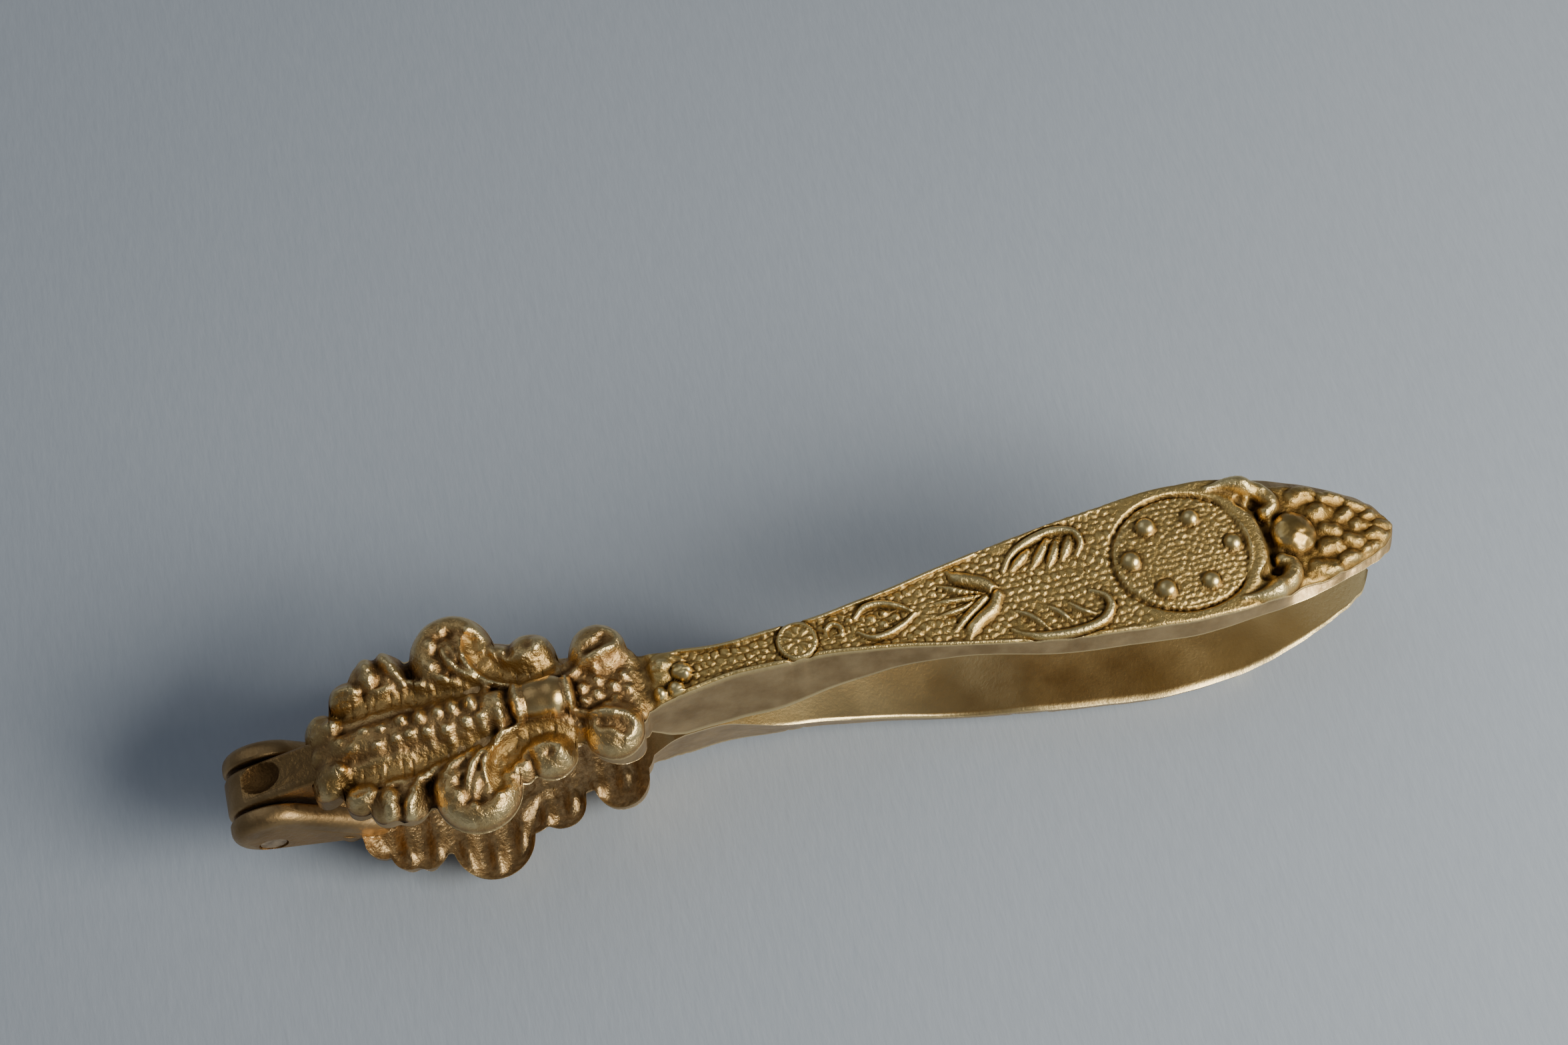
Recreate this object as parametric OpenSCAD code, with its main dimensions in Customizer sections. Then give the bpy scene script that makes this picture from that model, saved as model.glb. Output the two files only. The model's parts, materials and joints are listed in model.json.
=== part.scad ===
// Cast brass lever nutcracker: two ornamented levers joined at one end by a single pin.
// Frame, closed: origin at the centre of the whole, in the parting plane between the levers,
// +X towards the handle tips, Y along the hinge pin, +Z up. The lower lever is the upper one
// mirrored in the parting plane; only the hinge ends differ. Each part is drawn with x counted
// from the pin's axis, then moved into the frame.

/* [Levers] */
// Distance from the pin's axis to the handle tips
lever_length = 170; // [160:1:180]
// Greatest width of a handle
handle_width = 22; // [18:0.5:26]
// Width of the neck just outside the jaws
neck_width = 7.6; // [6.5:0.1:9]
// Height of the ornamented face over the parting plane, at the handle's belly
face_height = 16; // [15:0.25:18]
// Thickness of a handle in its middle
handle_thickness = 4; // [3:0.25:5]
// Height of the neck's stop face over the parting plane, half the gap left when closed
stop_height = 0.15; // [0.1:0.05:0.5]

/* [Jaws] */
// Width of a jaw over its two largest lobes
jaw_width = 33.6; // [31:0.2:36]
// Height of a jaw's rim over the parting plane
rim_height = 10.4; // [9.8:0.1:11]
// Thickness of the lobed plate
plate_thickness = 2.6; // [2:0.1:3.5]
// Radius of the hollow that grips the nut
grip_radius = 12.6; // [12:0.1:13]
// Height of the ribs across the hollow
rib_height = 0.7; // [0.3:0.1:1]
// Distance from one rib to the next
rib_pitch = 3.4; // [3:0.1:4]

/* [Hinge] */
// Diameter of the pin
pin_diameter = 4.2; // [3.6:0.1:4.4]
// Radial clearance between the pin and the tongue's bore
running_clearance = 0.05; // [0.02:0.01:0.1]
// Radius of the rounded hinge ends
knuckle_radius = 6.2; // [5.9:0.1:6.4]
// Depth of the pin below the parting plane and the knuckle's centre
pin_drop = 2.8; // [1.5:0.1:2.8]
// Thickness of the tongue
tongue_thickness = 6; // [5:0.1:6.4]
// Thickness of each ear
ear_thickness = 2.9; // [2.5:0.1:3.5]
// Gap between the tongue and each ear
side_gap = 0.6; // [0.3:0.1:0.8]

/* [Ornament] */
// Height of the relief over the handle's face
relief = 0.7; // [0.4:0.1:1]
// Radius of the rosette disc on the neck
rosette_radius = 2.9; // [2.5:0.1:3.2]
// Radius of the medallion's six bosses
boss_radius = 1.1; // [0.8:0.1:1.3]

/* [Hidden] */
brass = [0.79, 0.60, 0.33];
pin_brass = [0.72, 0.55, 0.32];
$fn = 64;

bore_radius = pin_diameter / 2 + running_clearance;
ear_inner = tongue_thickness / 2 + side_gap;
ear_outer = ear_inner + ear_thickness;
plate_top = rim_height + plate_thickness;
knuckle_x = 1;
arm_radius = 2.6;
plate_arm_end = [13.5, rim_height - 1.2];
face_arm_end = [12.4, rim_height - 3.2];
tip_x = lever_length;
centre_x = (tip_x + knuckle_x - knuckle_radius) / 2;
jaw_scale = jaw_width / 33.6;

// Lobes of the palmette on one side: [x, y, radius]
lobes = [
    [10.3, 3.7, 2.6],
    [14.7, 7.6, 2.6],
    [19.5, 9.4, 3.8],
    [30.6, 10.6, 6.2],
    [37.0, 8.6, 2.3],
    [41.2, 7.6, 3.8],
    [49.9, 6.2, 3.8]
];

// Half-widths of the palmette's middle, neck and handle: [x, y]
outline = [
    [7.6, 3.0],
    [12.0, 4.6],
    [20.0, 8.4],
    [30.0, 9.6],
    [38.0, 8.6],
    [46.0, 7.2],
    [54.0, neck_width * 0.75],
    [62.0, neck_width * 0.60],
    [75.0, neck_width * 0.45],
    [88.0, handle_width * 0.20],
    [100.0, handle_width * 0.30],
    [112.0, handle_width * 0.40],
    [125.0, handle_width * 0.47],
    [138.0, handle_width * 0.50],
    [148.0, handle_width * 0.46],
    [158.0, handle_width * 0.34],
    [tip_x - 4, handle_width * 0.21],
    [tip_x - 1, handle_width * 0.11],
    [tip_x, 0]
];

// Ornamented face over the parting plane, from the hinge to the tip: [x, z]
outer_line = [
    [5.0, 5.2],
    [9.0, 10.4],
    [15.0, 13.4],
    [25.0, 15.4],
    [37.0, 16.6],
    [45.0, 16.2],
    [52.0, 13.6],
    [62.0, face_height * 0.82],
    [78.0, face_height * 0.92],
    [95.0, face_height * 0.96],
    [115.0, face_height * 0.96],
    [135.0, face_height],
    [155.0, face_height * 0.89],
    [tip_x, face_height * 0.60]
];

// Inner face over the parting plane, from the tip back to the hinge: [x, z]
inner_line = [
    [tip_x, face_height * 0.60 - handle_thickness / 2],
    [155.0, face_height * 0.89 - handle_thickness * 0.7],
    [135.0, face_height - handle_thickness],
    [115.0, face_height * 0.96 - handle_thickness],
    [98.0, face_height * 0.96 - handle_thickness],
    [88.0, 8.4],
    [78.0, 4.2],
    [71.0, 1.4],
    [66.0, stop_height],
    [61.0, stop_height],
    [56.0, 3.6],
    [51.0, 9.0],
    [46.0, rim_height],
    [20.0, rim_height],
    [13.0, 9.0],
    [8.0, 4.0]
];

// One point of the Catmull-Rom curve through four points, at t from 0 to 1
function blend_point(a, b, c, d, t) =
    0.5 * (2 * b + (c - a) * t + (2 * a - 5 * b + 4 * c - d) * t * t
    + (3 * b - a - 3 * c + d) * t * t * t);

// Smooth curve through a list of points, with a number of steps from each to the next
function smooth(points, steps) = [
    for (i = [0 : len(points) - 2], s = [0 : steps - 1])
        blend_point(
            points[max(i - 1, 0)], points[i], points[i + 1],
            points[min(i + 2, len(points) - 1)], s / steps),
    points[len(points) - 1]
];

function flip_y(points) = [for (i = [len(points) - 1 : -1 : 0]) [points[i].x, -points[i].y]];

// Plan of the palmette's middle, neck and handle
module plan_outline() {
    half = smooth(outline, 3);
    polygon(concat(half, flip_y(half)));
}

// Side view of one lever, drawn over the parting plane and never closer to it than the stop
module side_outline() {
    inner = [for (p = smooth(inner_line, 3)) [p.x, max(p.y, stop_height)]];
    polygon(concat(smooth(outer_line, 3), inner));
}

// Two circles of different radius and the straight sides that touch both
module tapered_bar(a, r_a, b, r_b) {
    run = norm(b - a);
    heading = atan2(b.y - a.y, b.x - a.x);
    lean = acos((r_a - r_b) / run);
    up = heading + lean;
    down = heading - lean;
    translate(a) circle(r_a);
    translate(b) circle(r_b);
    polygon([
        a + r_a * [cos(up), sin(up)],
        a + r_a * [cos(down), sin(down)],
        b + r_b * [cos(down), sin(down)],
        b + r_b * [cos(up), sin(up)]
    ]);
}

// Turns a drawing of the side view into a slab between two values of Y
module slab(y_low, y_high) {
    translate([0, y_high, 0]) rotate([90, 0, 0]) linear_extrude(y_high - y_low) children();
}

// Lobed plate of the jaw
module lobed_plate() {
    translate([0, 0, rim_height]) linear_extrude(plate_thickness)
        for (lobe = lobes, side = [-1, 1])
            translate([lobe.x, side * lobe.y * jaw_scale]) circle(lobe.z);
}

// Ribbed hollow under the jaw: short cylinders about the parting line, wide and narrow by turns
module grip_hollow() {
    first_x = 15;
    last_x = 48;
    count = floor((last_x - first_x) / rib_pitch);
    for (i = [0 : count - 1])
        translate([first_x + i * rib_pitch, 0, 0]) rotate([0, 90, 0]) {
            cylinder(r = grip_radius - rib_height, h = rib_pitch);
            cylinder(r = grip_radius, h = rib_pitch * 0.6);
        }
}

// Barrel-shaped collar on the palmette's spine
module collar() {
    collar_x = 39;
    collar_length = 6;
    translate([collar_x, 0, 14.4]) rotate([0, 90, 0]) cylinder(r = 2.8, h = collar_length);
    translate([collar_x - 1.4, 0, 14.4]) rotate([0, 90, 0]) cylinder(r = 2.6, h = 0.8);
}

// Beads along the palmette's spine and raised buttons on the larger lobes
module jaw_relief() {
    bead_radius = 1;
    for (i = [0 : 6], side = [-1, 0, 1])
        translate([14.5 + i * 3.1, side * (1.2 + i * 0.18), 13 + i * 0.48])
            sphere(bead_radius, $fn = 24);
    for (lobe = [lobes[3], lobes[5], lobes[6]], side = [-1, 1])
        translate([lobe.x, side * lobe.y * jaw_scale, plate_top]) sphere(lobe.z * 0.45, $fn = 32);
    collar();
}

// Oval, centred, with half-axes a and b
module oval(a, b) {
    polygon([for (i = [0 : 47]) [a * cos(i * 7.5), b * sin(i * 7.5)]]);
}

// Rosette, medallion ring with six bosses, and the crown of knobs at the handle's end
module handle_relief() {
    medallion_x = 136.5;
    medallion_a = 10.5;
    medallion_b = handle_width * 0.34;
    translate([78, 0, 12]) cylinder(r = rosette_radius, h = face_height * 0.92 + relief - 12);
    translate([medallion_x, 0, 13]) linear_extrude(face_height + relief * 0.5 - 13) difference() {
        oval(medallion_a, medallion_b);
        oval(medallion_a - 1, medallion_b - 1);
    }
    for (i = [0 : 5])
        translate([
            medallion_x + 6 * cos(i * 60),
            (medallion_b - 2.6) * sin(i * 60),
            face_height - 0.15
        ]) sphere(boss_radius, $fn = 32);
    translate([150.5, 0, face_height * 0.9]) sphere(2.9, $fn = 40);
    for (side = [-1, 1]) {
        translate([148.4, side * 6.4, face_height * 0.9]) sphere(2, $fn = 32);
        translate([156.4, side * 4.4, face_height * 0.84]) sphere(1.6, $fn = 32);
    }
}

// What both levers share: jaw, neck and handle, drawn as the upper lever over the parting plane
module casting() {
    difference() {
        union() {
            intersection() {
                linear_extrude(face_height + 4) plan_outline();
                slab(-handle_width, handle_width) side_outline();
            }
            lobed_plate();
            jaw_relief();
            handle_relief();
        }
        grip_hollow();
    }
}

// Rounded hinge end with its arm towards the jaw plate, drawn for the upper lever
module hinge_side(arm_end) {
    tapered_bar([knuckle_x, 0], knuckle_radius, arm_end, arm_radius);
}

// Ear on the +Y side: its flat outer face ends below the lobes, a thinner arm runs on into them
module ear() {
    slab(ear_inner, ear_outer) hinge_side(face_arm_end);
    slab(ear_inner, ear_outer - 0.3) hinge_side(plate_arm_end);
}

// Moves what is drawn with x counted from the pin's axis into the frame
module in_frame() {
    translate([-centre_x, 0, 0]) children();
}

// Cylinder on the pin's axis
module on_pin_axis(radius, length) {
    translate([0, 0, -pin_drop]) rotate([90, 0, 0])
        cylinder(r = radius, h = length, center = true);
}

module upper_lever() {
    color(brass) in_frame() difference() {
        union() {
            casting();
            slab(-tongue_thickness / 2, tongue_thickness / 2) hinge_side(plate_arm_end);
        }
        on_pin_axis(bore_radius, 4 * ear_outer);
    }
}

module lower_lever() {
    color(brass) in_frame() difference() {
        mirror([0, 0, 1]) {
            casting();
            ear();
            mirror([0, 1, 0]) ear();
        }
        on_pin_axis(pin_diameter / 2, 4 * ear_outer);
    }
}

module hinge_pin() {
    end_recess = 0.2;
    color(pin_brass) in_frame() on_pin_axis(pin_diameter / 2, 2 * (ear_outer - end_recess));
}

upper_lever();
lower_lever();
hinge_pin();
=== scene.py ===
import json
import math

import bmesh
import bpy
import numpy as np
from mathutils import Matrix, Vector


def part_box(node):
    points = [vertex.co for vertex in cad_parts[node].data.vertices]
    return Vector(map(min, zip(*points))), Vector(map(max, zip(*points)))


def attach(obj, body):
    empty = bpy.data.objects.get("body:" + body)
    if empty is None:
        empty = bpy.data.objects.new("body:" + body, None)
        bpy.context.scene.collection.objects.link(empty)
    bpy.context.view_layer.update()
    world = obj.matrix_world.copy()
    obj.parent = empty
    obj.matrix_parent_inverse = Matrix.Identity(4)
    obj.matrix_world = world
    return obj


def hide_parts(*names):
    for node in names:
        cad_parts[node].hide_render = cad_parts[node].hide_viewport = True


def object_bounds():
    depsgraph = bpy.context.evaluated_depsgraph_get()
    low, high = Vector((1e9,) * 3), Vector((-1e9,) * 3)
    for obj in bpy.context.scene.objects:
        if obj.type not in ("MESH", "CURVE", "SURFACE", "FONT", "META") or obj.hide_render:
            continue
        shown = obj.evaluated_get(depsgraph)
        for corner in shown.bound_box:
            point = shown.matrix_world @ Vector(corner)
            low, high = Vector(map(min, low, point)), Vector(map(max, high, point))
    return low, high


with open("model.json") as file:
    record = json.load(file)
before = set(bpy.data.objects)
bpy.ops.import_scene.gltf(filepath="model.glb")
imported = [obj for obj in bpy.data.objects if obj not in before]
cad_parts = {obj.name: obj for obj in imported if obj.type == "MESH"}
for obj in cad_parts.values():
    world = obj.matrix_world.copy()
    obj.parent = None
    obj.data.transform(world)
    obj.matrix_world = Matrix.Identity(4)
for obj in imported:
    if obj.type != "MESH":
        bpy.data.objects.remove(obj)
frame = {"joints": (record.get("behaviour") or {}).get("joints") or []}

# Cast brass lever nutcracker. Everything is drawn in millimetres for the upper lever, with x
# counted from the pin's axis and z from the parting plane; make_mesh() moves it into the CAD frame.

MM = 0.001
cad_low, cad_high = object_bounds()
pin_low, pin_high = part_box("hinge_pin")
pin_position = Vector(frame["joints"][0]["pos_m"]) / MM

# Kept clear inside the CAD box
BOX_MARGIN = 0.02

# Read from the CAD: the pin, the handle's tip and half the width over the jaws
PIN_X = pin_position.x
PIN_DROP = -pin_position.z
PIN_RADIUS = (pin_high.x - pin_low.x) / 2 / MM
PIN_END = pin_high.y / MM
TIP_X = cad_high.x / MM - PIN_X
JAW_HALF = cad_high.y / MM
TOP_LIMIT = cad_high.z / MM - BOX_MARGIN

# Hinge: rounded ends, half the tongue's thickness, the ears' inner and outer faces
KNUCKLE_RADIUS = 6.2
KNUCKLE_X = cad_low.x / MM - PIN_X + KNUCKLE_RADIUS
TONGUE_HALF = 3.0
EAR_INNER = 3.6
EAR_OUTER = 6.5
BORE_GAP = 0.05

# Castings: where the mesh begins, the jaw ends and the tip narrows, the walls' lean outwards per
# mm down, half the gap between the closed necks, the jaw's flutes and the least thickness
CASTING_START = 7.4
JAW_END = 56.0
TIP_START = 166.0
JAW_DRAFT = 0.12
HANDLE_DRAFT = 0.28
STOP_GAP = 0.15
FLUTE_PITCH = 4.12
THINNEST = 0.5

# Fineness: the relief's raster, the mesh's cross-sections, their points and rows down the walls
RASTER_STEP = 0.1
STATION_STEP = 0.265
TIP_STATIONS = 26
FACE_COLUMNS = 109
INNER_COLUMNS = 37
WALL_ROWS = (0.1, 0.35, 0.65, 0.92)

# ---------- Profiles along the lever: (x, value) in mm ----------

# Lobes of the palmette on one side: x, y, radius
LOBES = [
    (10.3, 3.8, 2.6), (14.7, 7.4, 2.6), (18.0, 9.6, 2.6), (20.9, 9.9, 2.8), (24.2, 8.6, 2.6),
    (30.4, 10.3, 6.1), (36.9, 8.6, 2.2), (41.2, 7.4, 3.7), (50.6, 6.1, 4.2), (53.6, 4.0, 2.2),
]
HALF_WIDTH = [
    (7.2, 2.6), (12, 4.4), (20, 8.0), (30, 9.4), (38, 8.4), (46, 6.6), (54, 4.9), (58, 3.9), (62, 3.3),
    (75, 2.8), (88, 3.9), (100, 6.1), (112, 8.2), (125, 9.8), (130, 10.3), (138, 10.6), (145, 10.1),
    (149, 9.5), (151.5, 8.4), (155.5, 7.9), (158.5, 7.0), (161, 6.2), (163, 5.4), (166, 4.0),
    (168.4, 2.4), (169.6, 1.0), (170, 0.3),
]
FACE_LINE = [
    (56, 13.0), (62, 13.1), (70, 14.0), (78, 14.7), (95, 15.4), (115, 15.4), (135, 16.1), (145, 15.6),
    (155, 14.2), (163, 12.3), (170, 9.8),
]
DOME_CENTRE = [(7, 7.4), (10, 10.3), (15, 12.2), (25, 13.2), (37, 13.9), (45, 13.9), (52, 13.0), (60, 12.6)]
DOME_EDGE = [(7, 7.2), (10, 9.9), (14, 11.2), (25, 11.8), (45, 11.9), (52, 12.0), (58, 12.4), (62, 12.7)]
INNER_LINE = [
    (7.2, 4.5), (12, 8.0), (17, 10.0), (22, 10.4), (46, 10.4), (51, 9.4), (54, 7.4), (57, 3.6),
    (60, 0.6), (63, 0.15), (66, 0.15), (70, 1.6), (78, 4.7), (88, 8.8), (95, 11.1), (115, 11.3),
    (135, 11.9), (155, 11.1), (163, 9.3), (170, 6.8),
]
# Half-width of the inner face where it leaves the scalloped ornament for a plain leaf
INNER_LEAF = [
    (138, 11.2), (145, 10.9), (150, 10.2), (155, 9.0), (160, 7.4), (164, 5.9), (167, 4.4),
    (169, 2.6), (170, 0.7),
]
# Distance from the middle of the thick ends of the flutes inside the jaw
FLUTE_LINE = [(13, 5.6), (17, 8.8), (24, 9.8), (30.5, 12.8), (35, 10.0), (41, 7.8), (46, 6.4), (52, 5.6)]
SPINE_CREST = [(8, 9.6), (11, 11.9), (14, 13.3), (20, 14.4), (28, 15.3), (36, 15.9)]
SPINE_HALF = [(8, 1.5), (14, 2.1), (25, 2.7), (33, 3.2), (36.2, 3.0)]


def curve(table, x):
    """Smooth curve through (position, value) pairs, read at x, constant beyond its ends."""
    knots, values = np.array(table, float).T
    slopes = np.gradient(values, knots)
    x = np.clip(x, knots[0], knots[-1])
    i = np.clip(np.searchsorted(knots, x, side="right") - 1, 0, len(knots) - 2)
    span = knots[i + 1] - knots[i]
    t = (x - knots[i]) / span
    a = values[i] + slopes[i] * span * t
    b = values[i + 1] - slopes[i + 1] * span * (1 - t)
    s = t * t * (3 - 2 * t)
    return a * (1 - s) + b * s


def smoothstep(low, high, x):
    t = np.clip((x - low) / (high - low), 0, 1)
    return t * t * (3 - 2 * t)


def half_width(x):
    """Half-width of the ornamented face at x: the palmette's lobes, then the neck and handle."""
    sharpness = 4.0
    side_margin = 0.15
    total = np.exp(sharpness * curve(HALF_WIDTH, x))
    for centre, offset, radius in LOBES:
        chord = radius**2 - (x - centre) ** 2
        reach = offset + np.sqrt(np.maximum(chord, 0))
        total = total + np.where(chord > 0, np.exp(sharpness * reach), 0)
    return np.minimum(np.log(total) / sharpness, JAW_HALF - side_margin)


def inset(x, y):
    """Distance inwards from the outline of the ornamented face."""
    depth = curve(HALF_WIDTH, x) - np.abs(y)
    for centre, offset, radius in LOBES:
        depth = np.maximum(depth, radius - np.hypot(x - centre, np.abs(y) - offset))
    return np.maximum(depth, 0)


def inner_face(x, y, width):
    """Height of the inner face, whose own half-width is given: fluted jaw, then smooth handle."""
    line = np.maximum(curve(INNER_LINE, x), STOP_GAP)
    side = np.abs(y) / width
    jaw = smoothstep(12, 16, x) * (1 - smoothstep(51, 54.5, x))
    rim = 1 - smoothstep(0.90, 1.0, side)
    ribs = (0.5 + 0.5 * np.cos(2 * math.pi * (x - 14.1) / FLUTE_PITCH)) ** 1.4
    reach = np.abs(y) / curve(FLUTE_LINE, x)
    fingers = 0.6 + 1.0 * np.exp(-(((reach - 1) / 0.17) ** 2))
    fingers = fingers * (1 - smoothstep(1.12, 1.4, reach)) * ribs * rim
    hollow = 1.2 * (1 - side**2) + 0.5 * rim - fingers
    handle = smoothstep(70, 90, x)
    cupped = 0.45 * (1 - side**2) + 0.45 * smoothstep(0.94, 1.0, side)
    return line + jaw * hollow + handle * cupped


# ---------- Noise and cells ----------


def lattice_noise(x, y, cell, seed):
    """Smooth noise in -1..1 whose features are about one cell wide."""
    size = 128
    table = np.random.default_rng(seed).uniform(-1, 1, (size, size))
    u, v = x / cell, y / cell
    i, j = np.floor(u).astype(int), np.floor(v).astype(int)
    f, g = smoothstep(0, 1, u - i), smoothstep(0, 1, v - j)
    low = table[i % size, j % size] * (1 - f) + table[(i + 1) % size, j % size] * f
    high = table[i % size, (j + 1) % size] * (1 - f) + table[(i + 1) % size, (j + 1) % size] * f
    return low * (1 - g) + high * g


def pebbles(x, y, pitch, seed):
    """Cobbles on a jittered triangular grid: 0 in the joints, 1 on the crowns."""
    size = 256
    rng = np.random.default_rng(seed)
    jitter = rng.uniform(-0.34, 0.34, (2, size, size))
    tone = rng.uniform(0.55, 1.0, (size, size))
    row_pitch = pitch * math.sqrt(3) / 2
    row = np.round(y / row_pitch).astype(int)
    nearest = np.full(x.shape, 9.0)
    second = np.full(x.shape, 9.0)
    height = np.zeros(x.shape)
    for dj in (-1, 0, 1):
        j = row + dj
        shift = 0.5 * (j % 2)
        column = np.round(x / pitch - shift).astype(int)
        for di in (-1, 0, 1):
            i = column + di
            centre_x = (i + shift + jitter[0][i % size, j % size]) * pitch
            centre_y = (j + jitter[1][i % size, j % size]) * row_pitch
            d = np.hypot(x - centre_x, y - centre_y) / pitch
            closer = d < nearest
            second = np.where(closer, nearest, np.minimum(second, d))
            height = np.where(closer, tone[i % size, j % size], height)
            nearest = np.where(closer, d, nearest)
    edge = smoothstep(0.0, 0.40, second - nearest)
    return height * edge * (1 - 0.8 * nearest**2)


def smooth_line(points, steps=5):
    """Catmull-Rom curve through the points."""
    p = np.array(points, float)
    p = np.vstack([2 * p[0] - p[1], p, 2 * p[-1] - p[-2]])
    line = []
    for k in range(1, len(p) - 2):
        for t in np.arange(steps) / steps:
            line.append(
                0.5 * (2 * p[k] + (p[k + 1] - p[k - 1]) * t
                       + (2 * p[k - 1] - 5 * p[k] + 4 * p[k + 1] - p[k + 2]) * t**2
                       + (3 * p[k] - p[k - 1] - 3 * p[k + 1] + p[k + 2]) * t**3))
    line.append(p[-2])
    return np.array(line)


# ---------- Relief raster ----------


def from_segment(x, y, a, b):
    """Nearest point on the segment, as a share of the way from a to b, and the distance to it."""
    run = b - a
    t = np.clip(((x - a[0]) * run[0] + (y - a[1]) * run[1]) / (run @ run + 1e-9), 0, 1)
    return t, np.hypot(x - a[0] - t * run[0], y - a[1] - t * run[1])


class Relief:
    """Height of the ornamented face on a fine raster, the ground its features stand on, and marks."""

    def __init__(self, x_low, x_high, half, step):
        self.step = step
        self.x = np.arange(x_low, x_high + step, step)
        self.y = np.arange(-half, half + step, step)
        self.gx, self.gy = np.meshgrid(self.x, self.y, indexing="ij")
        self.ground = np.zeros(self.gx.shape)
        self.z = np.zeros(self.gx.shape)
        self.polish = np.zeros(self.gx.shape)
        self.channel = np.zeros(self.gx.shape)
        self.cavity = np.zeros(self.gx.shape)

    def window(self, points, reach):
        """Slices of the raster that hold the points and so much around them."""
        low = (np.min(points, axis=0) - reach - (self.x[0], self.y[0])) / self.step
        high = (np.max(points, axis=0) + reach - (self.x[0], self.y[0])) / self.step
        i, j = np.maximum(np.floor(low), 0).astype(int)
        m, n = np.maximum(np.ceil(high), 0).astype(int) + 1
        return slice(i, m), slice(j, n)

    def settle(self):
        """Takes the surface so far as the ground for what follows."""
        self.ground = self.z.copy()

    def raise_shape(self, area, q, height, power, moat):
        """Puts a rounded shape on the ground where q < 1 and clears what stood within its moat."""
        ground = self.ground[area]
        z = self.z[area]
        cleared = np.clip((1 + moat - q) / max(moat, 1e-6), 0, 1)
        z = z + (np.minimum(z, ground - 0.06) - z) * cleared if moat else z
        shape = np.maximum(1 - q**2, 0) ** power
        self.z[area] = np.where(q < 1, np.maximum(z, ground + height * shape), z)

    def ridge(self, points, radius, height, ends=(0.6, 0.6), power=0.8, moat=0.25, mirror=True):
        """Rounded ridge along a curve, with its size at either end as a share of the full one."""
        for side in (1, -1) if mirror else (1,):
            line = smooth_line(np.array(points, float) * (1, side))
            area = self.window(line, radius * (1 + moat) + self.step)
            x, y = self.gx[area], self.gy[area]
            q = np.full(x.shape, 9.0)
            size = np.ones(x.shape)
            count = len(line) - 1
            for k in range(count):
                t, away = from_segment(x, y, line[k], line[k + 1])
                share = (k + t) / count
                swell = np.minimum(share / 0.35, (1 - share) / 0.35).clip(0, 1)
                start = ends[0] + (1 - ends[0]) * smoothstep(0, 1, share / 0.35)
                stop = ends[1] + (1 - ends[1]) * smoothstep(0, 1, (1 - share) / 0.35)
                scale = np.where(swell < 1, np.minimum(start, stop), 1.0)
                d = away / (radius * scale)
                size = np.where(d < q, scale, size)
                q = np.minimum(q, d)
            self.raise_shape(area, q, height * size, power, moat)

    def boss(self, x, y, radius, height, stretch=1.0, power=0.6, moat=0.3, mirror=False):
        """Domed boss; stretch lengthens it along x."""
        for side in (1, -1) if mirror else (1,):
            centre = np.array([(x, y * side)])
            area = self.window(centre, radius * max(stretch, 1) * (1 + moat) + self.step)
            q = np.hypot((self.gx[area] - x) / stretch, self.gy[area] - y * side) / radius
            self.raise_shape(area, q, height, power, moat)

    def polish_spot(self, x, y, radius):
        """Marks a knob as smooth and bright."""
        spot = 1 - smoothstep(0.85, 1.0, np.hypot(self.gx - x, self.gy - y) / radius)
        self.polish = np.maximum(self.polish, spot)

    def hollow(self, points, radius, depth, power=1.0, mirror=True, in_ground=False):
        """Rounded groove along a curve, or a pit if there is one point."""
        for side in (1, -1) if mirror else (1,):
            line = np.array(points, float) * (1, side)
            if len(line) > 1:
                line = smooth_line(line)
            area = self.window(line, radius + self.step)
            x, y = self.gx[area], self.gy[area]
            q = np.full(x.shape, 9.0)
            for a, b in zip(line[:-1], line[1:]) if len(line) > 1 else [(line[0], line[0])]:
                q = np.minimum(q, from_segment(x, y, a, b)[1] / radius)
            cut = depth * np.maximum(1 - q**2, 0) ** power
            self.z[area] -= cut
            if in_ground:
                self.ground[area] -= cut

    def read(self, layer, x, y):
        """Bilinear reading of a layer of the raster."""
        u = np.clip((x - self.x[0]) / self.step, 0, len(self.x) - 1.001)
        v = np.clip((y - self.y[0]) / self.step, 0, len(self.y) - 1.001)
        i, j = u.astype(int), v.astype(int)
        f, g = u - i, v - j
        low = layer[i, j] * (1 - f) + layer[i + 1, j] * f
        high = layer[i, j + 1] * (1 - f) + layer[i + 1, j + 1] * f
        return low * (1 - g) + high * g


def blurred(layer, cells):
    """Box blur, twice, over a square of so many raster cells each way."""
    for axis in (0, 1, 0, 1):
        padded = np.pad(layer, [(cells + 1, cells) if a == axis else (0, 0) for a in (0, 1)], mode="edge")
        total = np.cumsum(padded, axis=axis)
        size = layer.shape[axis]
        high = np.take(total, np.arange(2 * cells + 1, 2 * cells + 1 + size), axis=axis)
        low = np.take(total, np.arange(size), axis=axis)
        layer = (high - low) / (2 * cells + 1)
    return layer


# ---------- Ornament ----------


def lay_dome(r):
    """Height of the plain face: the palmette's dome, the neck and the handle's sunk field."""
    across = np.clip(np.abs(r.gy) / half_width(r.gx), 0, 1)
    edge = curve(DOME_EDGE, r.gx)
    dome = edge + (curve(DOME_CENTRE, r.gx) - edge) * (1 - across**2)
    field = curve(FACE_LINE, r.gx) - 0.5
    return dome + (field - dome) * smoothstep(55, 60, r.gx)


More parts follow.
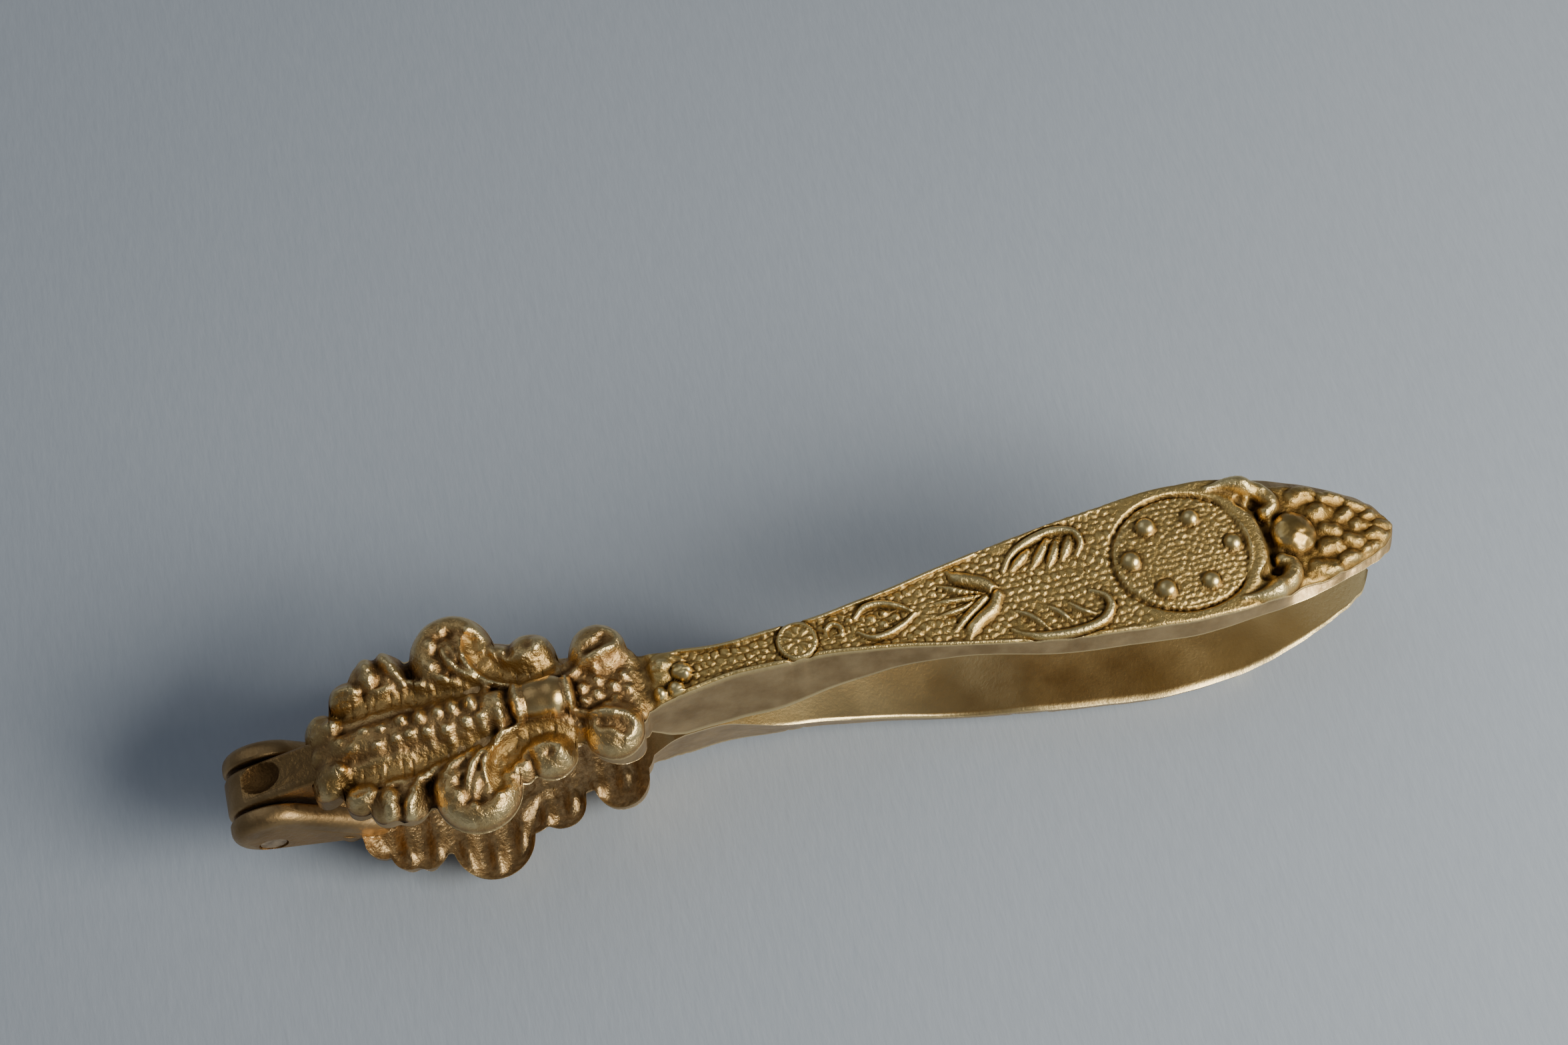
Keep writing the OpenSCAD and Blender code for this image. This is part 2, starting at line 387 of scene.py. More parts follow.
def carve_lobes(r):
    """Domes, rolls, fingers and ridges of the palmette's lobes, both sides alike."""

    def dome(x, y, radius, height, power, stretch=1.0):
        r.boss(x, y, radius, height, stretch, power, moat=0, mirror=True)

    r.hollow([(11.5, 5.3), (15, 5.1), (21, 5.0), (27, 4.6), (32.5, 4.0)], 1.7, 0.9, in_ground=True)
    r.hollow(
        [(33.6, 10.2), (34.2, 7.6), (36.4, 5.5), (40, 4.7), (43.6, 5.6), (45.6, 8.4)],
        2.0, 1.2, in_ground=True)
    r.channel = np.clip((lay_dome(r) - r.z) / 0.6, 0, 1)
    domes = [
        (10.6, 3.9, 3.1, 1.8, 0.8), (14.7, 7.7, 2.7, 1.1, 0.8), (19.4, 9.8, 3.9, 1.0, 0.9),
        (30.4, 10.4, 6.1, 1.1, 0.9), (41.0, 7.9, 3.3, 2.0, 0.8, 1.25), (50.6, 6.3, 4.3, 2.5, 0.8),
    ]
    for shape in domes:
        dome(*shape)
    r.settle()
    dome(12.3, 3.4, 1.4, 0.8, 1.2)
    r.ridge([(17.4, 7.2), (15.6, 8.0), (13.9, 8.2), (12.9, 7.4)], 0.8, 0.7, power=1.2, moat=0)
    r.ridge([(18.4, 7.6), (18.3, 9.8), (18.2, 11.9)], 1.5, 1.1, ends=(0.6, 0.9), power=1.2, moat=0)
    dome(18.3, 10.4, 1.3, 1.5, 1.2)
    r.ridge(
        [(23.0, 7.0), (22.2, 9.0), (21.2, 10.8), (20.8, 12.2)],
        1.2, 1.5, ends=(0.6, 0.8), power=1.2, moat=0)
    r.hollow([(20.2, 8.2), (19.7, 10.4), (19.6, 12.4)], 0.7, 0.45)
    r.hollow([(24.2, 8.2), (24.1, 9.6), (24.0, 11.4)], 1.0, 0.5)
    turns = np.radians(np.arange(-10, 211, 20))
    roll = [(30.4 + 4.2 * math.cos(a), 10.4 + 4.2 * math.sin(a)) for a in turns]
    r.ridge(roll, 1.9, 1.5, ends=(0.55, 1.0), power=0.9, moat=0)
    dome(31.0, 10.0, 3.3, 1.0, 1.2)
    dome(27.4, 11.6, 1.9, 1.7, 1.0)
    dome(29.4, 13.4, 1.3, 1.6, 1.2)
    dome(33.3, 12.6, 1.3, 1.6, 1.2)
    r.hollow([(30.6, 12.2), (31.4, 10.0)], 0.9, 0.5)
    r.ridge(
        [(37.6, 3.2), (35.6, 3.8), (33.6, 5.0), (32.3, 7.2), (31.9, 9.4), (32.2, 11.4)],
        0.8, 1.6, power=0.9, moat=0.1)
    r.ridge(
        [(34.2, 4.2), (32.0, 5.8), (30.2, 7.7), (29.3, 9.9), (29.2, 11.4)],
        0.75, 1.3, power=0.9, moat=0.1)
    r.ridge([(31.5, 4.6), (28.2, 6.2), (26.2, 7.8), (25.2, 9.4)], 0.9, 1.0, power=1.0, moat=0)
    r.ridge([(27.6, 5.2), (25.2, 6.2), (23.4, 7.6)], 0.8, 0.8, power=1.0, moat=0)
    dome(36.6, 9.0, 1.4, 1.0, 1.0)
    dome(42.4, 8.2, 1.5, 0.7, 1.0)
    r.hollow([(41.2, 8.3)], 0.8, 0.5)
    r.hollow([(38.6, 9.6), (38.2, 7.6)], 0.8, 0.5)
    r.ridge(
        [(45.3, 2.4), (47.6, 3.6), (50.4, 4.4), (52.6, 5.1), (53.7, 6.3), (53.3, 7.7), (52.0, 8.5)],
        0.85, 0.9, ends=(0.8, 0.5), power=1.0, moat=0)
    r.hollow([(49.0, 5.6), (50.6, 6.0), (51.6, 6.9)], 1.0, 0.7)


def carve_spine(r):
    """The knobbed spine, its barrel collar and the berries between the flared ridges."""
    on_spine = smoothstep(7.5, 9.0, r.gx) * (1 - smoothstep(35.4, 37.0, r.gx))
    side = np.abs(r.gy) / curve(SPINE_HALF, r.gx)
    crest = curve(SPINE_CREST, r.gx)
    hump = r.ground + (crest - r.ground) * (1 - np.clip(side, 0, 1) ** 2.2)
    r.z = np.where((side < 1) & (on_spine > 0), np.maximum(r.z, r.z + (hump - r.z) * on_spine), r.z)
    r.settle()
    rng = np.random.default_rng(20)
    for k in range(8):
        for y, radius in ((1.3, 1.25), (-1.4, 1.3), (2.9, 0.9), (-3.0, 0.9)):
            shift_x, shift_y, change = rng.uniform(-0.42, 0.42, 3)
            x = 17.3 + 2.5 * k + (0.6 if y < 0 else -0.6) + shift_x
            size = radius * (1 + change)
            if abs(y) < 2 or k > 2:
                r.boss(x, y + shift_y, size, 1.1 * size, power=1.5, moat=0, stretch=0.95 - 0.8 * change)
    r.boss(12.6, 0.9, 1.3, 0.5, power=1.2, moat=0)
    r.boss(14.4, -0.9, 1.2, 0.5, power=1.2, moat=0)
    collar_radii = [
        (36.6, 1.2), (37.2, 2.1), (38.1, 3.05), (38.7, 2.55), (39.2, 2.62), (41.9, 2.88), (44.2, 2.62),
        (44.7, 2.35), (45.2, 2.75), (45.9, 1.9), (46.4, 1.0),
    ]
    radius = curve(collar_radii, r.gx)
    axis = 14.2
    top = axis + np.sqrt(np.maximum(radius**2 - r.gy**2, 0))
    collar = (r.gx > 36.8) & (r.gx < 46.0) & (np.abs(r.gy) < radius)
    r.z = np.where(collar, np.maximum(top, r.z), r.z)
    barrel = smoothstep(38.9, 39.3, r.gx) * (1 - smoothstep(44.2, 44.6, r.gx))
    r.polish = barrel * (np.abs(r.gy) < radius)
    r.ridge([(35.2, 0), (38.0, 0)], 2.6, 1.2, ends=(1, 1), power=0.8, moat=0, mirror=False)
    r.settle()
    berries = [
        (47.4, 0.5, 1.05), (47.2, -1.4, 0.8), (49.3, -0.9, 1.05), (49.7, 1.3, 0.95), (51.6, 0.1, 1.05),
        (51.6, -2.0, 0.95), (53.4, 1.3, 0.85), (53.6, -0.8, 0.8), (49.6, 2.8, 0.7), (50.2, -2.9, 0.7),
    ]
    for x, y, radius in berries:
        r.boss(x, y, radius, radius * 0.8, power=1.0, moat=0.1)
    r.hollow([(56.3, 3.4), (55.9, 0), (56.3, -3.4)], 1.4, 0.9, mirror=False, in_ground=True)
    r.boss(58.9, 0.4, 2.0, 0.8, power=1.2, moat=0)


def wear_jaw(r):
    """Smooths the palmette as years of handling have, then adds sand-cast grain and cracks."""
    jaw = 1 - smoothstep(57, 58, r.gx)
    r.z += (blurred(r.z, 2) - r.z) * jaw
    rough = smoothstep(20, 24, r.gx) * (1 - smoothstep(34, 37, r.gx)) * smoothstep(2.5, 4, np.abs(r.gy))
    rough *= 1 - smoothstep(8.0, 9.5, np.abs(r.gy))
    grain = 0.07 * lattice_noise(r.gx, r.gy, 0.42, 11) + 0.16 * lattice_noise(r.gx, r.gy, 1.3, 12)
    lumps = 0.26 * lattice_noise(r.gx, r.gy, 0.8, 13) * rough
    r.z += jaw * (1 - 0.4 * r.channel) * (1 - 0.85 * r.polish) * (grain + lumps)
    rng = np.random.default_rng(21)
    for k in range(11):
        x = 13.6 + 1.75 * k + rng.uniform(-0.3, 0.3)
        lean = rng.uniform(-0.3, 0.3)
        r.hollow([(x, 4.0), (x + lean, 5.2), (x, 6.4)], 0.2, 0.25)
    for x in (36.9, 38.6, 40.4, 42.3):
        r.hollow([(x, 3.6), (x + 0.1, 4.6), (x - 0.2, 5.8)], 0.2, 0.25)
    r.settle()


def carve_neck_knobs(r):
    """Lumpy ridge and three polished knobs where the neck leaves the palmette."""
    r.ridge([(57.6, 1.6), (59.4, 2.0), (61.4, 1.9)], 1.5, 0.9, power=0.9, moat=0, mirror=False)
    r.z += 0.22 * lattice_noise(r.gx, r.gy, 0.9, 14) * np.clip(r.z - r.ground, 0, 1)
    r.settle()
    for x, y, radius in [(57.9, -2.5, 1.0), (60.2, -2.3, 1.25), (61.5, -0.2, 1.55)]:
        r.boss(x, y, radius, radius, moat=0.05)
        r.polish_spot(x, y, radius)


def carve_handle_ground(r):
    """Pebbled field, plain border and the lumps that break it."""
    field = smoothstep(60.5, 62.5, r.gx) * (1 - smoothstep(146, 150, r.gx))
    warp_x = r.gx + 0.25 * lattice_noise(r.gx, r.gy, 2.3, 34)
    warp_y = r.gy + 0.25 * lattice_noise(r.gx, r.gy, 2.1, 35)
    cobbles = 0.34 * pebbles(warp_x, warp_y, 1.25, 31) + 0.05 * lattice_noise(r.gx, r.gy, 0.4, 32)
    r.z += field * cobbles
    from_edge = half_width(r.gx) - np.abs(r.gy)
    border = 1 - smoothstep(0.45, 0.75, from_edge)
    far = smoothstep(60, 62, r.gx) * (1 - smoothstep(106.2, 106.9, r.gx)) + 0.5 * smoothstep(108, 110, r.gx)
    near = smoothstep(60, 62, r.gx) * (1 - smoothstep(147, 149, r.gx))
    strength = np.where(r.gy > 0, far * (1 - smoothstep(141, 144, r.gx)), near)
    lumps = 1 + 0.35 * lattice_noise(r.gx, r.gy, 1.3, 33) * smoothstep(107, 110, r.gx)
    lumps = lumps * (1 - 0.5 * smoothstep(123, 126, r.gx))
    plain = r.ground + 0.62 * lumps
    r.z += (plain - r.z) * border * np.clip(strength, 0, 1)


def carve_neck(r):
    """Rosette, curl and almond loop."""
    rosette_x = 78.3
    r.boss(rosette_x, 0, 2.95, 0.95, power=0.12, moat=0.12)
    area = r.window(np.array([(rosette_x, 0)]), 2.6)
    x, y = r.gx[area] - rosette_x, r.gy[area]
    d, turn = np.hypot(x, y), np.arctan2(y, x)
    petals = (0.5 + 0.5 * np.cos(9 * turn)) * smoothstep(0.5, 1.2, d) * (1 - smoothstep(1.9, 2.3, d))
    dish = np.where(d < 2.35, -0.28 + 0.3 * petals, 0)
    r.z[area] += dish + 0.3 * np.clip(1 - (d / 0.45) ** 2, 0, 1)
    curl = [(82.6, -0.6), (82.7, 0.7), (83.8, 1.2), (84.8, 0.4), (84.6, -0.7), (83.7, -0.6)]
    r.ridge(curl, 0.5, 0.75, mirror=False)
    r.boss(86.2, 1.3, 0.6, 0.5)
    loop = [
        ([(86.9, 1.2), (88.6, 2.5), (91.0, 2.6), (93.6, 1.6), (95.6, 0.2)], 0.62, 0.95),
        ([(87.0, -0.9), (88.8, -2.2), (91.2, -2.1), (93.6, -1.2), (95.6, 0.1)], 0.6, 0.9),
    ]
    for line, radius, height in loop:
        r.ridge(line, radius, height, mirror=False, power=0.7)
    seeds = [(89.3, 0.7, 0.75), (90.9, -0.5, 0.75), (91.2, 1.1, 0.6), (92.8, 0.2, 0.7), (89.0, -0.8, 0.6)]
    for x, y, radius in seeds:
        r.boss(x, y, radius, 0.5)


def carve_tulip(r):
    """Open flower: two broad petals, four stamens and pits along two of them."""
    petal, stamen = (0.8, 0.35), (0.9, 0.4)
    flower = [
        (petal, [(107.9, 0.3), (106.6, 2.1), (104.4, 3.2), (102.6, 4.0), (101.7, 5.2)], 1.15, 1.1),
        (petal, [(107.9, 0.1), (106.6, -1.8), (104.4, -3.0), (102.9, -4.2), (102.2, -5.6)], 1.15, 1.05),
        (stamen, [(106.2, 0.2), (103.0, 1.6), (99.4, 3.5)], 0.65, 0.8),
        (stamen, [(106.2, 0.2), (102.0, 0.6), (97.8, 0.8)], 0.55, 0.7),
        (stamen, [(106.2, 0.1), (102.2, -0.9), (98.2, -1.3)], 0.5, 0.7),
        (stamen, [(106.0, 0.0), (103.2, -1.9), (100.4, -4.0)], 0.7, 0.9),
    ]
    for ends, line, radius, height in flower:
        r.ridge(line, radius, height, ends=ends, mirror=False)
    for start, stop in [((104.6, -0.9), (100.6, -3.3)), ((104.6, 0.7), (99.6, 2.8))]:
        for t in np.linspace(0, 1, 7):
            pit = np.array(start) * (1 - t) + np.array(stop) * t + (0, 0.15)
            r.hollow([tuple(pit)], 0.3, 0.3, mirror=False)


def carve_leaves(r):
    """The two curling leaves with their veins, and a low swelling beside each."""
    far_leaf = [
        (109.6, 3.4), (111.4, 5.6), (114.6, 7.1), (118.2, 7.8),
        (121.0, 7.0), (121.8, 5.2), (120.6, 3.3),
    ]
    r.ridge(far_leaf, 0.78, 1.05, ends=(0.5, 0.5), mirror=False, power=0.7)
    far_veins = [
        ((113.9, 5.6), (110.8, 3.3)), ((117.0, 6.6), (113.9, 3.0)),
        ((118.3, 6.0), (116.2, 2.6)), ((120.3, 6.2), (118.4, 3.2)),
    ]
    for start, stop in far_veins:
        middle = np.mean([start, stop], axis=0) + (0.25, 0.15)
        r.ridge([start, middle, stop], 0.8, 0.85, ends=(0.7, 0.5), mirror=False)
    near_leaf = [
        (108.5, -5.6), (109.8, -6.6), (112.6, -7.6), (117.2, -8.0),
        (121.2, -7.4), (123.1, -5.6), (122.9, -3.8), (121.0, -2.5),
    ]
    r.ridge(near_leaf, 0.82, 1.05, ends=(0.5, 0.6), mirror=False, power=0.7)
    near_veins = [
        [(109.9, -3.0), (111.8, -4.4), (113.6, -6.6)],
        [(114.6, -3.4), (115.8, -4.6), (117.0, -6.2)],
        [(117.6, -3.6), (118.8, -5.0), (120.6, -6.0)],
    ]
    for vein in near_veins:
        r.ridge(vein, 0.6, 0.8, mirror=False)
    r.boss(109.8, -6.2, 1.5, 0.35, power=0.5, moat=0)
    r.boss(110.4, 7.2, 1.2, 0.35, stretch=1.5, power=0.7, moat=0)


def carve_medallion(r):
    """Raised oval with finer cobbles, six bosses and the smooth band at its outer end."""
    x0, y0, a, b = 135.6, 0.0, 10.4, 8.8
    oval = np.hypot((r.gx - x0) / a, (r.gy - y0) / b)
    inside = 1 - smoothstep(0.98, 1.0, oval)
    warp = 0.2 * lattice_noise(r.gx, r.gy, 1.9, 43)
    cobbles = 0.3 * pebbles(r.gx + 3.3 + warp, r.gy + 1.7 - warp, 0.98, 41)
    cobbles = cobbles + 0.05 * lattice_noise(r.gx, r.gy, 0.4, 42)
    field = r.ground + 0.2 + 0.3 * (1 - np.clip(oval, 0, 1) ** 2) + cobbles
    around = smoothstep(126, 130, r.gx) * (1 - smoothstep(147, 149, r.gx)) * smoothstep(1.0, 1.06, oval)
    smooth_band = 0.5 + 0.06 * lattice_noise(r.gx, r.gy, 1.6, 44)
    r.z += (r.ground + smooth_band - r.z) * around
    r.z += (field - r.z) * inside
    r.z -= 0.4 * np.clip(1 - ((oval - 1.02) / 0.05) ** 2, 0, 1)
    r.ground = r.ground + 0.45 * inside
    bosses = [
        (127.8, 0.3, 1.5), (131.4, 4.9, 1.5), (131.5, -5.0, 1.5),
        (138.2, 4.9, 1.35), (138.2, -5.2, 1.4), (143.2, -0.1, 1.4),
    ]
    for x, y, radius in bosses:
        r.boss(x, y, radius, radius * 0.85, power=0.6, moat=0.2)
        r.polish_spot(x, y, radius)
    band = [
        (139.8, 9.1), (143.4, 7.4), (145.9, 4.2), (146.7, 0),
        (145.9, -4.2), (143.4, -7.4), (139.8, -9.1),
    ]
    r.ridge(band, 1.5, 0.95, ends=(0.4, 0.4), power=0.6, moat=0, mirror=False)


def carve_crown(r):
    """Central knob, scroll curls and the foliage that closes the handle's end."""
    crown = smoothstep(147.5, 149.5, r.gx)
    r.z -= 0.6 * crown
    r.settle()
    moat = [(146.4, 6.0), (148.2, 4.2), (149.0, 1.6), (149.1, -1.6), (148.3, -4.2), (146.4, -6.0)]
    r.hollow(moat, 1.1, 1.0, mirror=False)
    r.boss(153.2, 0.1, 3.4, 2.3, power=0.6, moat=0.1)
    r.polish_spot(153.2, 0.1, 3.3)
    scroll = [(142.0, 8.9), (145.4, 9.0), (148.6, 8.0), (150.6, 6.4), (151.0, 4.9), (149.9, 3.9)]
    r.ridge(scroll, 1.6, 1.9, ends=(0.3, 0.75), power=0.8, moat=0)
    r.hollow([(148.4, 5.6)], 1.0, 0.9)
    leaves = [
        (154.9, 5.7, 158.2, 6.0, 1.5), (157.2, 2.8, 160.0, 3.2, 1.5), (158.2, 0.1, 161.0, 0.1, 1.4),
        (159.6, 5.1, 162.4, 4.6, 1.2), (161.4, 1.7, 163.8, 2.4, 1.2), (163.4, 0.2, 165.8, 0.1, 1.1),
        (163.6, 3.8, 166.0, 3.2, 1.0), (165.4, 1.5, 167.6, 1.7, 1.0), (167.2, 0.0, 169.2, 0.0, 0.9),
    ]
    rng = np.random.default_rng(50)
    for x0, y0, x1, y1, radius in leaves:
        for side in (1, -1) if y0 > 0.5 else (1,):
            bend, sway, change = rng.uniform(-0.5, 0.5, 3)
            middle = ((x0 + x1) / 2 + bend, side * (y0 + y1) / 2 + sway)
            line = [(x0, side * y0), middle, (x1, side * y1)]
            size = radius * (1 + 0.3 * change)
            ends = (0.9, 0.5 + 0.5 * change)
            r.ridge(line, size, 0.62 * size, ends=ends, power=0.9, moat=0, mirror=False)
    r.z += crown * (0.28 * lattice_noise(r.gx, r.gy, 1.7, 53)) * (r.gx > 156.8)
    grain = 0.11 * lattice_noise(r.gx, r.gy, 0.8, 51) + 0.05 * lattice_noise(r.gx, r.gy, 0.4, 52)
    r.z += crown * grain


def ornamented_face():
    """The whole face as a raster, rounded towards its outline."""
    beyond = 0.5
    r = Relief(6.5, TIP_X + beyond, JAW_HALF + beyond, RASTER_STEP)
    r.z = lay_dome(r)
    r.settle()
    carve_lobes(r)
    carve_spine(r)
    carve_handle_ground(r)
    wear_jaw(r)
    carve_neck_knobs(r)
    r.ground = np.where(r.gx > 63.5, curve(FACE_LINE, r.gx) - 0.5, r.ground)
    carve_neck(r)
    carve_tulip(r)
    carve_leaves(r)
    carve_medallion(r)
    carve_crown(r)
    depth = inset(r.gx, r.gy)
    fillet = 1.5 - 1.05 * smoothstep(54, 60, r.gx) + 0.5 * smoothstep(146, 150, r.gx)
    short = np.clip(1 - depth / fillet, 0, 1)
    r.z -= 0.85 * fillet * (1 - np.sqrt(1 - short**2))
    r.z = np.minimum(r.z, TOP_LIMIT)
    # Hollows and crowns of the ornament; the material darkens the hollows, partly as tarnish and partly as
    # painted shade
    r.cavity = r.z - blurred(r.z, 7)
    return r


# ---------- Mesh ----------

# Vertex values: hollows and crowns of the ornament (hollows dark as tarnish and as painted shade), the
# palmette's plain channels, the polished barrel and knobs, walls, inner faces and the edges between faces
# and walls, worn bright and given a painted highlight
MARKS = ("cavity", "channel", "polish", "wall", "inner", "edge")


def strip(a, b):
    """Quads between two rows of vertex numbers of equal length."""
    return np.stack([a[:-1], a[1:], b[1:], b[:-1]], axis=-1).reshape(-1, 4)


def sheet(rows):
    """Quads of a grid of vertex numbers."""
    a, b = rows[:-1, :-1], rows[1:, :-1]
    c, d = rows[1:, 1:], rows[:-1, 1:]
    return np.stack([a, b, c, d], axis=-1).reshape(-1, 4)


def make_mesh(name, points, quads, caps, flip):
    """Mesh in the CAD frame from an upper-lever drawing; flip mirrors it into the lower lever."""
    moved = np.array(points, float)
    moved[:, 0] += PIN_X
    faces = [tuple(f) for f in quads.tolist() + caps]
    if flip:
        moved[:, 2] *= -1
        faces = [f[::-1] for f in faces]
    mesh = bpy.data.meshes.new(name)
    mesh.from_pydata((moved * MM).tolist(), [], faces)
    mesh.validate()
    return mesh


def mark(mesh, marks):
    """Stores vertex values for the material to read."""
    for label, values in marks.items():
        mesh.attributes.new(label, "FLOAT", "POINT").data.foreach_set("value", values)
    return mesh


def casting_stations():
    """Distances of the cross-sections from the pin: even, then closer and closer towards the tip."""
    tip = TIP_X - BOX_MARGIN
    body = np.arange(CASTING_START, TIP_START, STATION_STEP)
    return np.concatenate([body, tip - (tip - TIP_START) * (1 - np.linspace(0, 1, TIP_STATIONS)) ** 1.6])


def running_mean(values, count):
    """Mean over an odd count of neighbours, with the ends held."""
    return np.convolve(np.pad(values, count // 2, mode="edge"), np.ones(count) / count, mode="valid")


def ornamented_grid(relief, stations, width):
    """Points of the ornamented face, a row to each cross-section, closer together at the sides."""
    share = np.linspace(-1, 1, FACE_COLUMNS)
    x = np.repeat(stations[:, None], FACE_COLUMNS, axis=1)
    y = width[:, None] * (share * (1.2 - 0.2 * share**2))
    return np.stack([x, y, relief.read(relief.z, x, y)], axis=-1)


def inner_grid(relief, stations, width, top):
    """Points of the inner face, widened by the walls' draft, then a plain leaf at the end."""
    rim = top[:, [0, -1], 2].mean(axis=1)
    wall = running_mean(np.maximum(rim - inner_face(stations, width, width), THINNEST), 21)
    draft = JAW_DRAFT + (HANDLE_DRAFT - JAW_DRAFT) * smoothstep(62, 80, stations)
    spread = np.minimum(width + draft * wall, JAW_HALF - BOX_MARGIN)
    leaf_half = np.maximum(curve(INNER_LEAF, stations), width + 0.05)
    spread = spread + (leaf_half - spread) * smoothstep(138, 146, stations)
    share = np.linspace(-1, 1, INNER_COLUMNS)
    x = np.repeat(stations[:, None], INNER_COLUMNS, axis=1)
    y = spread[:, None] * (share * (1.25 - 0.25 * share**2))
    roof = relief.read(blurred(relief.z, 8), x, np.clip(y, -width[:, None], width[:, None]))
    return np.stack([x, y, np.minimum(inner_face(x, y, spread[:, None]), roof - THINNEST)], axis=-1)


def closed_skin(top, low, top_ids, low_ids):
    """Points, quads and the two end caps that close two grids with walls between their edges."""
    points = [top.reshape(-1, 3), low.reshape(-1, 3)]
    quads = [sheet(top_ids), sheet(low_ids)[:, ::-1]]
    count = top_ids.size + low_ids.size
    sides = []
    for column in (0, -1):
        rows = [top_ids[:, column]]
        for t in WALL_ROWS:
            points.append(top[:, column] * (1 - t) + low[:, column] * t)
            rows.append(count + np.arange(len(top)))
            count += len(top)
        rows.append(low_ids[:, column])
        for a, b in zip(rows[:-1], rows[1:]):
            quads.append(strip(a, b) if column == 0 else strip(b, a))
        sides.append(rows)
    caps = []
    for end in (0, -1):
        loop = list(top_ids[end]) + [r[end] for r in sides[1][1:-1]]
        loop += list(low_ids[end][::-1]) + [r[end] for r in sides[0][-2:0:-1]]
        caps.append([int(i) for i in (loop if end == 0 else loop[::-1])])
    return np.concatenate(points), np.concatenate(quads), caps


def casting_marks(relief, top, low, count):
    """Vertex values of a casting, read from its relief or set part by part."""
    face, inside = top[..., 0].size, low[..., 0].size
    marks = {label: np.zeros(count, np.float32) for label in MARKS}
    x, y = top[..., 0].ravel(), top[..., 1].ravel()
    for label, layer in (("cavity", relief.cavity), ("channel", relief.channel), ("polish", relief.polish)):
        marks[label][:face] = relief.read(layer, x, y)
    marks["wall"][face:] = 1
    marks["inner"][face:face + inside] = 1
    return marks


def casting_mesh(name, relief, flip):
    """Closed mesh of jaw, neck and handle: relief above, walls with draft, inner face below."""
    stations = casting_stations()
    width = half_width(stations)
    top = ornamented_grid(relief, stations, width)
    low = inner_grid(relief, stations, width, top)
    top_ids = np.arange(top[..., 0].size).reshape(top.shape[:2])
    low_ids = top_ids.size + np.arange(low[..., 0].size).reshape(low.shape[:2])
    points, quads, caps = closed_skin(top, low, top_ids, low_ids)
    marks = casting_marks(relief, top, low, len(points))
    # Edges between faces and walls: worn bright, plus a painted highlight in place of light caught by their
    # rounding
    for ids in (top_ids, low_ids):
        marks["edge"][ids[:, [0, -1]].ravel()] = smoothstep(20, 24, np.repeat(stations, 2))
    return mark(make_mesh(name, points, quads, caps, flip), marks)


def ring_stack(name, rings, flip=False):
    """Closed mesh through a stack of equal rings of points, capped at both ends."""
    points = np.array(rings)
    ids = np.arange(points.shape[0] * points.shape[1]).reshape(points.shape[:2])
    quads = sheet(np.hstack([ids, ids[:, :1]]))
    caps = [ids[0][::-1].tolist(), ids[-1].tolist()]
    return make_mesh(name, points.reshape(-1, 3), quads, caps, flip)


def rounded_slab(name, y_low, y_high, arm_end, arm_radius, fillets, flip):
    """Hinge side: two circles and their tangents as outline, with both flat faces' edges rounded."""
    knuckle = np.array([KNUCKLE_X, 0.0])
    arm_end = np.array(arm_end, float)
    run = arm_end - knuckle
    heading = math.atan2(run[1], run[0])
    lean = math.acos((KNUCKLE_RADIUS - arm_radius) / np.hypot(*run))
    around = np.linspace(heading + lean, heading + 2 * math.pi - lean, 73)
    beyond = np.linspace(heading - lean, heading + lean, 25)
    rows = []
    for fillet, face, direction in ((fillets[0], y_low, 1), (fillets[1], y_high, -1)):
        layers = []
        for turn in np.linspace(0, math.pi / 2, 7):
            cut = fillet * (1 - math.sin(turn))
            y = face + direction * fillet * (1 - math.cos(turn))
            big = knuckle + (KNUCKLE_RADIUS - cut) * np.stack([np.cos(around), np.sin(around)], axis=-1)
            small = arm_end + (arm_radius - cut) * np.stack([np.cos(beyond), np.sin(beyond)], axis=-1)
            loop = np.vstack([big, small])
            layers.append(np.stack([loop[:, 0], np.full(len(loop), y), loop[:, 1]], axis=-1))
        rows += layers if direction == 1 else layers[::-1]
    mesh = ring_stack(name, rows, flip)
    return mark(mesh, {"wall": np.ones(len(mesh.vertices), np.float32)})


def turned(name, outline, segments=64):
    """Closed solid turned about the pin's axis from (y, radius) pairs."""
    turn = np.linspace(0, 2 * math.pi, segments, endpoint=False)
    rings = [
        np.stack([r * np.cos(turn), np.full(segments, y), r * np.sin(turn) - PIN_DROP], axis=-1)
        for y, r in outline
    ]
    return ring_stack(name, rings)


def ball(name, centre, radii, segments=48):
    """Closed ellipsoid, used to hollow the dish on the tongue and to paint shade into it."""
    turn = np.linspace(0, 2 * math.pi, segments, endpoint=False)
    rings = []
    for a in np.linspace(0.02, math.pi - 0.02, segments // 2):
        z, r = math.cos(a), math.sin(a)
        ring = np.stack([r * np.cos(turn), r * np.sin(turn), np.full(segments, z)], axis=-1)
        rings.append(ring * radii + centre)
    mesh = ring_stack(name, rings)
    # Cavity -0.3 on the dish's faces: painted shade, dark in the dish
    return mark(mesh, {"cavity": np.full(len(mesh.vertices), -0.3, np.float32)})


def outward(mesh):
    """Turns every face outwards, so that Booleans see a solid."""
    work = bmesh.new()
    work.from_mesh(mesh)
    bmesh.ops.recalc_face_normals(work, faces=work.faces)
    if work.calc_volume(signed=True) < 0:
        bmesh.ops.reverse_faces(work, faces=work.faces)
    work.to_mesh(mesh)
    work.free()
    return mesh


def placed(name, data):
    """New object in the scene."""
    made = bpy.data.objects.new(name, data)
    bpy.context.scene.collection.objects.link(made)
    return made


